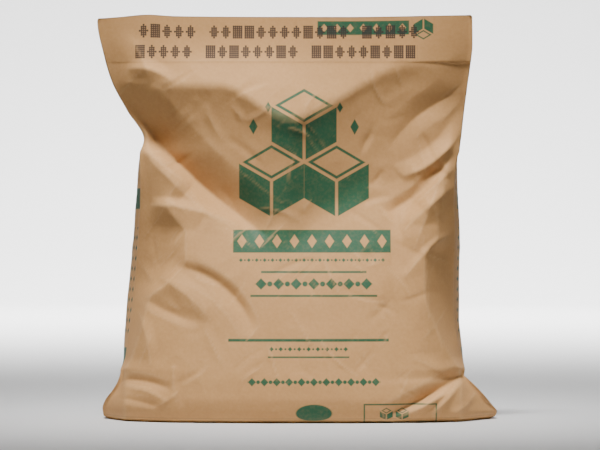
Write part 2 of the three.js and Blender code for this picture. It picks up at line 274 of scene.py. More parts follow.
# The unevenness of handled paper: a lattice turned by about 37 degrees carries smooth and ridged noise, each
# with layers of (cell, height), and small creases lie over it by chance within these ranges
LATTICE_SIZE = 97
LATTICE_COSINE = 0.8
LATTICE_SINE = 0.6
SMOOTH_LAYERS = ((75, 2.0), (33, 0.8))
RIDGED_LAYERS = ((41, 0.9), (17, 0.4))
CREASE_COUNT = 110
CREASE_X = (-185, 185)
CREASE_HEIGHT = (20, 400)
CREASE_ANGLE = (15, 80)
CREASE_HALF_LENGTH = (9, 34)
CREASE_RISE = (0.5, 1.4)
CREASE_WIDTH = (3, 9)
CREASE_BEND = (-0.1, 0.1)
FRONT_SEED = 11
BACK_SEED = 47
GUSSET_SEED = 83
GUSSET_SHARE = 0.6

# How much of the folds is left at a panel's creases, and over what share and heights they fade out
FADE_LEAST = 0.3
FADE_START = 0.92
GROUND_FADE = 8
CLOSURE_FADE = 12


def lattice_noise(x, z, cell, seed):
    """Noise from 0 to 1: seeded random numbers on a square lattice, joined by smooth steps."""
    table = np.random.default_rng(seed).random((LATTICE_SIZE, LATTICE_SIZE))
    column = x / cell
    row = z / cell
    i = np.floor(column).astype(int)
    j = np.floor(row).astype(int)
    across = smooth_step(0, 1, column - i)
    up = smooth_step(0, 1, row - j)

    def corner(di, dj):
        return table[(i + di) % LATTICE_SIZE, (j + dj) % LATTICE_SIZE]

    low = corner(0, 0) + (corner(1, 0) - corner(0, 0)) * across
    high = corner(0, 1) + (corner(1, 1) - corner(0, 1)) * across
    return low + (high - low) * up


def chance_folds(seed, count):
    """Small straight creases of handled paper, laid by chance over a panel, most of them slanting."""
    draw = np.random.default_rng(seed)
    folds = []
    for _ in range(count):
        middle = np.array((draw.uniform(*CREASE_X), draw.uniform(*CREASE_HEIGHT)))
        angle = math.radians(draw.uniform(*CREASE_ANGLE) * draw.choice((-1, 1)))
        half = draw.uniform(*CREASE_HALF_LENGTH) * np.array((math.cos(angle), math.sin(angle)))
        rise = draw.uniform(*CREASE_RISE) * draw.choice((-1, 1))
        above = draw.uniform(*CREASE_WIDTH)
        below = draw.uniform(*CREASE_WIDTH)
        folds.append(Fold(middle - half, middle + half, rise, above, below, draw.uniform(*CREASE_BEND)))
    return folds


def crumple(x, z, seed):
    """The unevenness of handled paper: smooth noise, less noise folded into ridges, and small creases."""
    turned_x = LATTICE_COSINE * x + LATTICE_SINE * z
    turned_z = LATTICE_COSINE * z - LATTICE_SINE * x
    total = np.zeros_like(x)
    for cell, height in SMOOTH_LAYERS:
        total += height * (lattice_noise(turned_x, turned_z, cell, seed + cell) - 0.5)
    for cell, height in RIDGED_LAYERS:
        total -= height * np.abs(2 * lattice_noise(turned_x, turned_z, cell, seed + cell) - 1)
    return total + lift_of(chance_folds(seed, CREASE_COUNT), x, z)


def fullness(share):
    """A superellipse from 1 at a panel's middle to 0 at its creases."""
    return (1 - np.abs(share) ** BELLY_FLATNESS) ** (1 / BELLY_ROUNDING)


def sheet_fullness(share):
    """A flatter curve than a belly's, from 1 at a panel's middle to 0 at its creases."""
    return 1 - share**SHEET_FLATNESS


def broken_fullness(share, z):
    """The fullness of the front, but straight from each break to the crease beside it."""
    left = left_at(z)
    width = right_at(z) - left
    full = fullness(share)
    for break_at, side in ((left_break_at, -1), (right_break_at, 1)):
        start = side * np.clip(2 * (break_at(z) - left) / width - 1, -OUTMOST_BREAK, OUTMOST_BREAK)
        straight = fullness(start) * (1 - side * share) / (1 - start)
        full = np.where(side * share > start, straight, full)
    return full


def ear_plane(x, z):
    """The flat facet of a pinched bottom corner."""
    right = RIGHT_EAR.at + RIGHT_EAR.across * x + RIGHT_EAR.up * z
    left = LEFT_EAR.at + LEFT_EAR.across * x + LEFT_EAR.up * z
    return np.where(x > 0, right, left)


def fade_at_edges(share, z):
    """1 inside a panel, less at its creases, and 0 at the ground and at the closure."""
    across = FADE_LEAST + (1 - FADE_LEAST) * smooth_step(1, FADE_START, np.abs(share))
    closed = smooth_step(FLAP_BOTTOM - CLOSURE_FADE, CLOSURE_HEIGHT - CLOSURE_FADE, z)
    return across * smooth_step(0, GROUND_FADE, z) * (1 - closed)


def ridge_at(x):
    """Height of the ridge: a sagging line, lowest near the middle."""
    left = RIDGE_LEFT_RISE * smooth_step(*RIDGE_LEFT_SPAN, x)
    right = RIDGE_RIGHT_RISE * smooth_step(*RIDGE_RIGHT_SPAN, x)
    return RIDGE_HEIGHT + left + right


def apron_y(share, x, z):
    """The slack sheet: it leans out down to the ridge, and in again under it, less and less."""
    above = -soft_least(-z, -ridge_at(x), RIDGE_BLEND)
    drop = above - z
    slack = 1 - (1 - APRON_RIGHT_SHARE) * smooth_step(*APRON_RIGHT_SPAN, x)
    hung = CLOSURE_FRONT + (apron_at(above) - CLOSURE_FRONT) * slack
    return hung + APRON_LEAN * sheet_fullness(share) * drop / (1 + drop / APRON_RECESS)


def belly_dip(x, z):
    """How much lower the belly's profile lies at (x, z): most in the middle, nought at the ground."""
    across = smooth_step(*DIP_LEFT_SPAN, x) * (1 - smooth_step(*DIP_RIGHT_SPAN, x))
    return BELLY_DIP * across * smooth_step(*DIP_HEIGHTS, z)


def flap_step(x):
    """How far the flap stands out: pressed flat along most of its edge, lifted at its right end."""
    return FLAP_STEP + FLAP_LIFT * smooth_step(*FLAP_LIFT_SPAN, x)


def front_y(share, x, z):
    """The front panel: the lesser of the filled belly and the slack sheet above it, with ears and folds."""
    crease = front_crease_at(z)
    belly = crease + (belly_at(z + belly_dip(x, z)) - crease) * broken_fullness(share, z)
    sheet = crease + (apron_y(share, x, z) - crease) * sheet_fullness(share)
    joined = soft_least(belly, sheet, APRON_BLEND)
    y = belly + (joined - belly) * smooth_step(*APRON_HEIGHTS, z)
    ear = np.maximum(ear_plane(x, z), crease * EAR_DEPTH)
    y = np.where(z < EAR_HEIGHT, soft_least(y, ear, EAR_BLEND), y)
    y = y - (lift_of(FRONT_FOLDS, x, z) + crumple(x, z, FRONT_SEED)) * fade_at_edges(share, z)
    return y - flap_step(x) * smooth_step(FLAP_BOTTOM, FLAP_BOTTOM + FLAP_EDGE, z)


def back_y(share, x, z):
    """The back panel: the filled belly with its ears and folds, which follows the front up at the closure."""
    crease = back_crease_at(z)
    joined = smooth_step(BACK_JOIN_START, FLAP_BOTTOM, z)
    across = fullness(share) * (1 - joined) + sheet_fullness(share) * joined
    y = crease + (back_at(z) - crease) * across
    ear = np.minimum(-BACK_EAR_SHARE * ear_plane(x, z), crease * EAR_DEPTH)
    y = np.where(z < EAR_HEIGHT, -soft_least(-y, -ear, EAR_BLEND), y)
    return y + (lift_of(BACK_FOLDS, x, z) + crumple(x, z, BACK_SEED)) * fade_at_edges(share, z)


def row_heights():
    """Heights of the grid's rows: close together at the ground and at the flap's lower edge."""
    body_rows = ALL_ROWS - FOOT_ROWS - len(EDGE_ROWS) - FLAP_ROWS - len(TOP_ROWS)
    foot = FOOT_TOP * np.linspace(0, 1, FOOT_ROWS, endpoint=False) ** FOOT_CROWDING
    body = np.linspace(FOOT_TOP, FLAP_BOTTOM, body_rows, endpoint=False)
    edge = FLAP_BOTTOM + np.array(EDGE_ROWS)
    flap = np.linspace(FLAP_BOTTOM + FLAP_ROWS_START, CLOSURE_HEIGHT - FLAP_ROWS_END, FLAP_ROWS)
    top = CLOSURE_HEIGHT - np.array(TOP_ROWS)
    return np.concatenate((foot, body, edge, flap, top))


def sack_surface():
    """Points [row, column, xyz] of the whole sack.

    Each row is a level loop: front panel, right gusset, back panel, left gusset. A panel's x lies between
    its two creases and its y is front_y or back_y. A gusset bulges out as a parabola between its creases,
    or is tucked in with one straight fold.
    """
    heights = row_heights()
    even = np.linspace(-1, 1, PANEL_COLUMNS + 1)
    shares = (1 - COLUMN_CROWDING) * even + COLUMN_CROWDING * np.sin(even * math.pi / 2)
    share, z = np.meshgrid(shares, heights)
    bulge = bulge_at(heights)[:, None]
    inset = np.maximum(bulge, 0)
    left = left_at(heights)[:, None] + inset
    right = right_at(heights)[:, None] - inset
    x = left + (right - left) * (share + 1) / 2
    front = np.stack((x, front_y(share, x, z), z), axis=-1)
    back = np.stack((x, back_y(share, x, z), z), axis=-1)[:, ::-1]

    across = np.linspace(-1, 1, GUSSET_COLUMNS + 1)[None, 1:-1]
    power = np.where(bulge > 0, 2, 1)
    out = bulge * (1 - np.abs(across) ** power)

    def gusset(edge_x, start, end, outwards):
        y = start[:, 1:2] + (end[:, 1:2] - start[:, 1:2]) * (across + 1) / 2
        level = np.broadcast_to(heights[:, None], y.shape)
        ripple = GUSSET_SHARE * crumple(y, level, GUSSET_SEED) * fade_at_edges(across, level)
        return np.stack((edge_x + outwards * (out + ripple), y, level), axis=-1)

    right_side = gusset(right, front[:, -1], back[:, 0], 1)
    left_side = gusset(left, back[:, -1], front[:, 0], -1)
    points = np.concatenate((front, right_side, back, left_side), axis=1)
    lift = smooth_step(FLAP_BOTTOM, CLOSURE_HEIGHT, points[..., 2])
    points[..., 2] += lift * top_edge_at(points[..., 0])
    return points


def print_coordinates(points):
    """Flat coordinates of the paper, in metres: u runs round the sack from the front's middle, v runs up.

    On a panel u is x, on a gusset it goes on by the distance from the crease. Below the belly v goes on down
    by the length of the paper that curves under.
    """
    columns = points.shape[1]
    ring = np.concatenate((points, points[:, :1]), axis=1)
    panel = PANEL_COLUMNS
    gusset = GUSSET_COLUMNS
    step = np.linalg.norm(np.diff(ring, axis=1), axis=2)
    u = np.zeros((points.shape[0], columns + 1))
    u[:, : panel + 1] = ring[:, : panel + 1, 0]
    right = slice(panel, panel + gusset + 1)
    u[:, right] = SIDE_U + gusset_offset(step[:, panel : panel + gusset])
    start = panel + gusset
    u[:, start : start + panel + 1] = BACK_U - ring[:, start : start + panel + 1, 0]
    start += panel
    u[:, start:] = -SIDE_U + gusset_offset(step[:, start:])
    heights = row_heights()
    low = heights < BELLY_START
    edge = np.count_nonzero(low)
    arc = np.hypot(np.diff(heights[: edge + 1]), np.diff(belly_at(heights[: edge + 1])))
    v = heights.copy()
    v[:edge] = heights[edge] - np.cumsum(arc[::-1])[::-1]
    return u, np.broadcast_to(v[:, None], u.shape)


def gusset_offset(step):
    """Distances round a gusset, measured from its middle."""
    total = np.concatenate((np.zeros((step.shape[0], 1)), np.cumsum(step, axis=1)), axis=1)
    return total - total[:, -1:] / 2


# Wear starts at a small share of this bending, in millimetres over the grid
WEAR_BEND = 0.5
WEAR_START = 0.25


def crease_wear(points):
    """How sharply the paper is creased outwards at each point, from 0 to 1: its bending over the grid."""
    y = points[..., 1]
    around = np.roll(y, 1, axis=1) + np.roll(y, -1, axis=1) - 2 * y
    upward = np.zeros_like(y)
    upward[1:-1] = y[2:] + y[:-2] - 2 * y[1:-1]
    bend = around + upward
    outward = np.ones(points.shape[1])
    outward[PANEL_COLUMNS + GUSSET_COLUMNS : 2 * PANEL_COLUMNS + GUSSET_COLUMNS] = -1
    return np.clip(bend * outward / WEAR_BEND - WEAR_START, 0, 1)


def sack_mesh():
    """The closed mesh of the sack: its grid joined into quads, with strips closing the ground and the top."""
    points = sack_surface()
    rows, columns = points.shape[:2]
    u, v = print_coordinates(points)
    index = np.arange(rows * columns).reshape(rows, columns)
    ring = np.concatenate((index, index[:, :1]), axis=1)
    walls = np.stack((ring[:-1, :-1], ring[:-1, 1:], ring[1:, 1:], ring[1:, :-1]), axis=-1).reshape(-1, 4)
    uv = np.stack((u, v), axis=-1) * MM
    wall_uv = np.stack((uv[:-1, :-1], uv[:-1, 1:], uv[1:, 1:], uv[1:, :-1]), axis=2).reshape(-1, 4, 2)

    def fan(first):
        """Triangles from the first point of a gusset to the pairs of points round it."""
        side = np.arange(1, GUSSET_COLUMNS)
        return np.stack((np.full_like(side, first), first + side, (first + side + 1) % columns), axis=-1)

    def cap(row, upwards):
        """Quads that join the front to the back in one row, and a fan of triangles over each gusset."""
        back_end = 2 * PANEL_COLUMNS + GUSSET_COLUMNS
        front = np.arange(PANEL_COLUMNS + 1)
        back = (back_end - front) % columns
        quads = index[row][np.stack((front[:-1], front[1:], back[1:], back[:-1]), axis=-1)]
        triangles = index[row][np.concatenate((fan(PANEL_COLUMNS), fan(back_end)))]
        if upwards:
            return quads, triangles
        return quads[:, ::-1], triangles[:, ::-1]

    ground_quads, ground_triangles = cap(0, False)
    top_quads, top_triangles = cap(-1, True)
    quads = np.concatenate((walls, ground_quads, top_quads))
    triangles = np.concatenate((ground_triangles, top_triangles))
    corners = np.concatenate((quads.ravel(), triangles.ravel()))
    sizes = np.concatenate((np.full(len(quads), 4), np.full(len(triangles), 3)))
    mesh = bpy.data.meshes.new("sack_paper")
    mesh.vertices.add(rows * columns)
    mesh.vertices.foreach_set("co", (points.reshape(-1, 3) * MM).astype(np.float32).ravel())
    mesh.loops.add(len(corners))
    mesh.loops.foreach_set("vertex_index", corners.astype(np.int32))
    mesh.polygons.add(len(sizes))
    mesh.polygons.foreach_set("loop_start", np.concatenate(([0], np.cumsum(sizes)[:-1])).astype(np.int32))
    mesh.update(calc_edges=True)
    mesh.validate()
    mesh.polygons.foreach_set("use_smooth", np.ones(len(sizes), bool))
    own_uv = uv[:, :-1].reshape(-1, 2)
    corner_uv = np.concatenate((wall_uv.reshape(-1, 2), own_uv[corners[walls.size :]]))
    layer = mesh.uv_layers.new(name="paper")
    layer.data.foreach_set("uv", corner_uv.astype(np.float32).ravel())
    wear = mesh.attributes.new("wear", "FLOAT", "POINT")
    wear.data.foreach_set("value", crease_wear(points).astype(np.float32).ravel())
    return mesh


# Colours of the paper, the inks, the painted shade of its folds and the floor, as linear light
KRAFT = (0.61, 0.335, 0.133)
KRAFT_PALE = (0.68, 0.39, 0.166)
KRAFT_DEEP = (0.53, 0.275, 0.1)
GREEN_INK = (0.024, 0.106, 0.053)
CODE_INK = (0.042, 0.03, 0.027)
SPECK = (0.24, 0.14, 0.07)
RUBBED_PAPER = (0.78, 0.52, 0.27)
# The painted shade of the folds at the top edge and at the foot
PAINTED_FOLD_SHADE = (0.13, 0.085, 0.05)
FLOOR_WHITE = (0.69, 0.69, 0.69)
FLOOR_GREY = (0.66, 0.66, 0.66)

# Width in millimetres over which the edge of a printed shape fades
EDGE_SOFTNESS = 0.9

# Scales of the paper's noises, per metre: clouds, broad patches, crinkles, and upright fibres and flecks
CLOUD_SCALE = 260.0
BROAD_SCALE = 9.0
CRINKLE_SCALE = 42.0
FIBRE_STRETCH = (2600.0, 2600.0, 260.0)
FLECK_STRETCH = (1500.0, 1500.0, 500.0)
FLOOR_SCALE = 3.0

# The paper's brown, from deep to pale: the shares of its clouds, patches and fibres
BROWN_CLOUD = 0.9
BROWN_BROAD = 0.5
BROWN_START = 0.45
BROWN_FIBRE = 0.5

# Flecks show where their noise is strongest, and creases are rubbed unevenly by the clouds
FLECK_LEAST = 0.72
FLECK_CONTRAST = 6
FLECK_STRENGTH = 0.45
RUB_LEAST = 0.45
RUB_CLOUD = 0.6
RUB_STRENGTH = 0.22

# The inks' cover, and what rubbing, flecks and thin spots in the clouds take from it
INK_COVER = 0.985
CODE_STRENGTH = 0.95
INK_RUBBED = 0.5
INK_FLECKED = 0.3
THIN_SPOT = 0.55
INK_THINNED = 0.28

# Gloss and relief of the paper: the grain is a sum of clouds, fibres and patches over the crinkles
PAPER_SPECULAR = 0.25
PAPER_ROUGHNESS = 0.62
ROUGH_CLOUD = 0.16
ROUGH_INK = 0.1
FLOOR_ROUGHNESS = 0.8
GRAIN_CLOUD = 0.5
GRAIN_FIBRE = 0.35
GRAIN_BROAD = 0.2
GRAIN_SHARE = 0.1
BUMP_STRENGTH = 0.35
BUMP_DISTANCE = 0.0012


class Value:
    """A shader number: arithmetic on it adds Math nodes, with plain numbers or other values."""

    def __init__(self, recipe, socket):
        self.recipe = recipe
        self.socket = socket

    def maths(self, operation, *values):
        return self.recipe.add("ShaderNodeMath", {"operation": operation}, values)

    def __add__(self, other):
        return self.maths("ADD", self, other)

    __radd__ = __add__

    def __sub__(self, other):
        return self.maths("SUBTRACT", self, other)

    def __rsub__(self, other):
        return self.maths("SUBTRACT", other, self)

    def __mul__(self, other):
        return self.maths("MULTIPLY", self, other)

    __rmul__ = __mul__

    def __truediv__(self, other):
        return self.maths("DIVIDE", self, other)

    def __abs__(self):
        return self.maths("ABSOLUTE", self)

    def floor(self):
        return self.maths("FLOOR", self)

    def root(self):
        return self.maths("SQRT", self)

    def above(self, limit):
        return self.maths("GREATER_THAN", self, limit)

    def below(self, limit):
        return self.maths("LESS_THAN", self, limit)

    def most(self, other):
        return self.maths("MAXIMUM", self, other)

    def wrap(self, low, high):
        return self.maths("WRAP", self, high, low)

    def between(self, low, high):
        """1 where the value lies between two plain numbers, with a soft edge."""
        return inside(abs(self - (low + high) / 2) - (high - low) / 2)

    def clamped(self):
        return self.recipe.add("ShaderNodeClamp", {}, {"Value": self})


class Recipe:
    """One material under construction: its node tree and its Principled shader."""

    def __init__(self, name):
        self.material = bpy.data.materials.new(name)
        self.material.use_nodes = True
        self.tree = self.material.node_tree
        self.shader = next(node for node in self.tree.nodes if node.type == "BSDF_PRINCIPLED")

    def add(self, kind, settings, inputs, output=0):
        """Adds a node: its settings first, then its sockets, by order or by name."""
        node = self.tree.nodes.new(kind)
        for name, setting in settings.items():
            setattr(node, name, setting)
        pairs = inputs.items() if isinstance(inputs, dict) else enumerate(inputs)
        for key, value in pairs:
            self.feed(node.inputs[key], value)
        return Value(self, node.outputs[output])

    def feed(self, socket, value):
        """Links a value to a socket, or sets the socket to a plain number or colour."""
        if isinstance(value, Value):
            self.tree.links.new(value.socket, socket)
        elif isinstance(value, tuple) and len(value) == 3 and socket.type == "RGBA":
            socket.default_value = (*value, 1)
        else:
            socket.default_value = value

    def noise(self, place, scale, detail=3.0, roughness=0.55):
        inputs = {"Vector": place, "Scale": scale, "Detail": detail, "Roughness": roughness}
        return self.add("ShaderNodeTexNoise", {}, inputs)

    def stretched(self, place, scale):
        return self.add("ShaderNodeMapping", {}, {"Vector": place, "Scale": scale})

    def blend(self, share, first, second):
        """The colour first where share is 0 and second where it is 1."""
        return self.add("ShaderNodeMix", {"data_type": "RGBA"}, {0: share, 6: first, 7: second}, 2)

    def chance(self, column, row):
        """A random number from 0 to 1 for each pair of whole numbers."""
        place = self.add("ShaderNodeCombineXYZ", {}, (column, row, 0.0))
        return self.add("ShaderNodeTexWhiteNoise", {"noise_dimensions": "3D"}, {"Vector": place})


def inside(distance, softness=EDGE_SOFTNESS):
    """1 where a signed distance in millimetres is below nought, fading over the ink's soft edge."""
    return (0.5 - distance / softness).clamped()


def box(x, y, half_x, half_y):
    """The distance to a box about the origin."""
    return (abs(x) - half_x).most(abs(y) - half_y)


def diamond(x, y, half_x, half_y):
    """The distance to a diamond about the origin."""
    return (abs(x) / half_x + abs(y) / half_y - 1) * (half_x * half_y / math.hypot(half_x, half_y))


def oval(x, y, half_x, half_y):
    """The distance to an oval about the origin."""
    return ((x * x / half_x**2 + y * y / half_y**2).root() - 1) * min(half_x, half_y)


# A cube seen from its corner: the slant of its edges, and its rim's place and half width in the gap
CUBE_SLANT = math.radians(30)
RIM_PLACE = 0.55
RIM_HALF = 0.45


def cube(x, y, edge, gap):
    """A sugar cube seen from its corner: two solid faces and a top that is only outlined."""
    half = edge * math.cos(CUBE_SLANT)
    slope = math.tan(CUBE_SLANT)
    below = y - abs(x) * slope
    faces = (abs(x) - half).most(gap / 2 - abs(x)).most(below + gap / 2).most(-1 * below - edge + gap / 2)
    top = diamond(x, y - edge / 2, half - gap, edge / 2 - gap * slope)
    rim = abs(top + gap * RIM_PLACE) - gap * RIM_HALF
    return inside(faces).most(inside(rim))


# The print of a panel, in millimetres from its middle and from the ground
EMBLEM_PLACE = (7, 275)
EMBLEM_EDGE = 43.0
EMBLEM_GAP = 3.4
# Small diamonds beside the emblem: (x, y, half width, half height)
SPARKLES = ((58, 62, 5, 9), (41, 84, 3.5, 6))
# Bands: (x, y, diamonds on each side of the middle one, half height, pitch)
PANEL_BAND = (16, 206, 4, 13, 20)
FLAP_BAND = (75, 451, 3, 8, 15)
# Rows of beads: (x, y, diamonds on each side of the middle one, radius, pitch)
BEAD_ROWS = ((16, 184.5, 9, 2.2, 9), (18, 157.5, 3, 6.5, 20), (12, 84, 4, 2.6, 10.5), (18, 47, 5, 4.7, 14))
# Rules: (x, y, half length, half thickness)
RULES = ((18, 171, 60, 1.1), (18, 144, 72, 1.1), (12, 94, 91, 1.6), (12, 75, 46, 0.9))
# The oval at the foot and the box beside it: (x, y, half width, half height)
FOOT_OVAL = (18, 11, 20.5, 10.5)
FOOT_BOX = (116, 9, 41, 12.5)
FOOT_BOX_LINE = 0.8
# Cubes: (x, y, edge, gap)
FOOT_CUBES = ((100, 10, 8.5, 1.2), (118, 10, 8.5, 1.2))
FLAP_CUBE = (144, 449, 13, 1.6)
# Shapes in a band and a row of beads, as shares of pitch, height or radius, and the row's margin
BARE_WIDTH = 0.27
BARE_HEIGHT = 0.6
DOT_SHARE = 0.45
BEAD_MARGIN = 0.5
# A gusset's blocks: (y, half height), their half width, and the small diamonds between them
GUSSET_BLOCKS = ((69, 14), (255, 12))
GUSSET_BLOCK_HALF = 52
GUSSET_DIAMOND = (3.8, 3.4)
GUSSET_PITCH = (14, 12)
GUSSET_ROWS_HALF = 49
GUSSET_ROWS_SPAN = (96, 222)
GUSSET_BARE_EDGE = -32


def emblem(x, y):
    """Three cubes in a heap, with small diamonds sparkling over them."""
    half = EMBLEM_EDGE * math.cos(CUBE_SLANT)
    low = cube(abs(x) - half, y, EMBLEM_EDGE, EMBLEM_GAP)
    total = low.most(cube(x, y - 1.5 * EMBLEM_EDGE, EMBLEM_EDGE, EMBLEM_GAP))
    for across, up, half_width, half_height in SPARKLES:
        total = total.most(inside(diamond(abs(x) - across, y - up, half_width, half_height)))
    return total


def band(x, y, count, half_height, pitch):
    """A solid band with a row of diamonds left bare in it, count of them on each side of the middle one."""
    step = x.wrap(-pitch / 2, pitch / 2)
    cut = inside(diamond(step, y, pitch * BARE_WIDTH, half_height * BARE_HEIGHT))
    return inside(box(x, y, (count + 0.5) * pitch, half_height)) * (1 - cut)


def beads(x, y, count, radius, pitch):
    """A row of diamonds with dots between them, count diamonds on each side of the middle one."""
    step = x.wrap(-pitch / 2, pitch / 2)
    other = (x + pitch / 2).wrap(-pitch / 2, pitch / 2)
    dots = inside(oval(other, y, radius * DOT_SHARE, radius * DOT_SHARE))
    shapes = inside(diamond(step, y, radius, radius)).most(dots)
    return shapes * inside(abs(x) - count * pitch - radius - BEAD_MARGIN)


def at_place(shape, x, y, values):
    """A printed shape at the place that its first two values give."""
    across, up, *sizes = values
    return shape(x - across, y - up, *sizes)


def panel_print(x, y):
    """The print of a panel, x from its middle and y up from the ground, in millimetres."""
    shapes = [at_place(emblem, x, y, EMBLEM_PLACE), at_place(band, x, y, PANEL_BAND)]
    shapes += [at_place(beads, x, y, row) for row in BEAD_ROWS]
    shapes += [inside(at_place(box, x, y, rule)) for rule in RULES]
    shapes.append(inside(at_place(oval, x, y, FOOT_OVAL)))
    shapes.append(inside(abs(at_place(box, x, y, FOOT_BOX)) - FOOT_BOX_LINE))
    shapes += [at_place(cube, x, y, foot_cube) for foot_cube in FOOT_CUBES]
    total = shapes[0]
    for shape in shapes[1:]:
        total = total.most(shape)
    return total


def gusset_print(x, y):
    """The print of a gusset: a block at its foot and another higher up, with small diamonds between."""
    half_x, half_y = GUSSET_PITCH[0] / 2, GUSSET_PITCH[1] / 2
    total = inside(diamond(x.wrap(-half_x, half_x), (y - half_y).wrap(-half_y, half_y), *GUSSET_DIAMOND))
    total = total * inside(abs(x) - GUSSET_ROWS_HALF) * y.between(*GUSSET_ROWS_SPAN)
    for up, half_height in GUSSET_BLOCKS:
        total = total.most(inside(box(x, y - up, GUSSET_BLOCK_HALF, half_height)))
    return total


def flap_print(x, y):
    """The end of the back panel's print, upside down where the closure is folded to the front."""
    across, up, edge, gap = FLAP_CUBE
    return at_place(band, x, y, FLAP_BAND).most(cube(x - across, -1 * (y - up), edge, gap))


# The dotted rows on the flap, in millimetres: (left end, lower edge, seed)
CODE_ROWS = ((-183, 438.5, 4.0), (-187, 415.5, 8.0))
DOT_PITCH_X = 2.25
DOT_PITCH_Y = 2.2
DOT_RADIUS = 1.25
DOT_SOFTNESS = 0.5
SHAPE_DOTS = 7
SHAPE_COLUMNS = 5
SHAPES_IN_ROW = 24
DIAMOND_SLOPE = 1.25
BLOCK_CHANCE = 0.4
GAP_CHANCE = 0.14
GAP_SEED = 5


def code_print(recipe, x, y):
    """Rows of dotted diamonds and blocks in a chance order, with some shapes left out.

    The columns of dots are all of one height in a block, and get lower from the middle one in a diamond.
    """
    columns = SHAPE_COLUMNS + 1
    half_width = SHAPES_IN_ROW * columns * DOT_PITCH_X / 2
    half_height = SHAPE_DOTS * DOT_PITCH_Y / 2
    total = 0.0
    for left, low, seed in CODE_ROWS:
        column = ((x - left) / DOT_PITCH_X).floor()
        row = ((y - low) / DOT_PITCH_Y).floor()
        across = (x - left).wrap(0, DOT_PITCH_X) - DOT_PITCH_X / 2
        up = (y - low).wrap(0, DOT_PITCH_Y) - DOT_PITCH_Y / 2
        shape = (column / columns).floor()
        from_middle = abs(column.wrap(0, columns) - (SHAPE_COLUMNS - 1) / 2)
        slope = recipe.chance(shape, seed).above(BLOCK_CHANCE) * DIAMOND_SLOPE
        half_dots = SHAPE_DOTS / 2 - from_middle * slope
        drawn = (half_dots - abs(row - (SHAPE_DOTS - 1) / 2)).above(0) * from_middle.below(SHAPE_COLUMNS / 2)
        shown = recipe.chance(shape, seed + GAP_SEED).above(GAP_CHANCE)
        zone = inside(box(x - left - half_width, y - low - half_height, half_width, half_height))
        dots = inside(oval(across, up, DOT_RADIUS, DOT_RADIUS), DOT_SOFTNESS)
        total = (dots * drawn * shown * zone).most(total)
    return total


# The gussets lie between these distances from the front's middle, and the back past them
GUSSET_U = (300, 500)

# Painted shade along the folded top edge and along the fold at the foot: (height, half width, strength of the
# painted shade)
TOP_FOLD_PAINTED_SHADE = (CLOSURE_HEIGHT, 1.0, 0.55)
FOOT_FOLD_PAINTED_SHADE = (FOOT_FOLD, 0.5, 0.3)


def paper_place(recipe):
    """The paper's flat coordinates in millimetres: u round the sack and v up."""
    place = recipe.add("ShaderNodeUVMap", {"uv_map": "paper"}, ())
    split = recipe.tree.nodes.new("ShaderNodeSeparateXYZ")
    recipe.tree.links.new(place.socket, split.inputs[0])
    return Value(recipe, split.outputs[0]) / MM, Value(recipe, split.outputs[1]) / MM


def green_print(x, y, side, back):
    """All the green print: on the front and back below the flap, on the gussets, and on the flap."""
    above_flap = y.above(FLAP_BOTTOM)
    panels = panel_print(x - back * BACK_U, y) * (1 - side) * (1 - above_flap)
    round_gusset = abs(x) - SIDE_U
    bare_edge = x.above(0) * round_gusset.below(GUSSET_BARE_EDGE)
    sides = gusset_print(round_gusset, y) * side * (1 - bare_edge)
    return panels.most(sides).most(flap_print(x, y) * above_flap * (1 - back) * (1 - side))


def painted_fold_shade(y, values):
    """Painted shade: the dark line of a fold's shadow along one height."""
    height, half_width, strength = values
    return inside(abs(y - height) - half_width) * strength


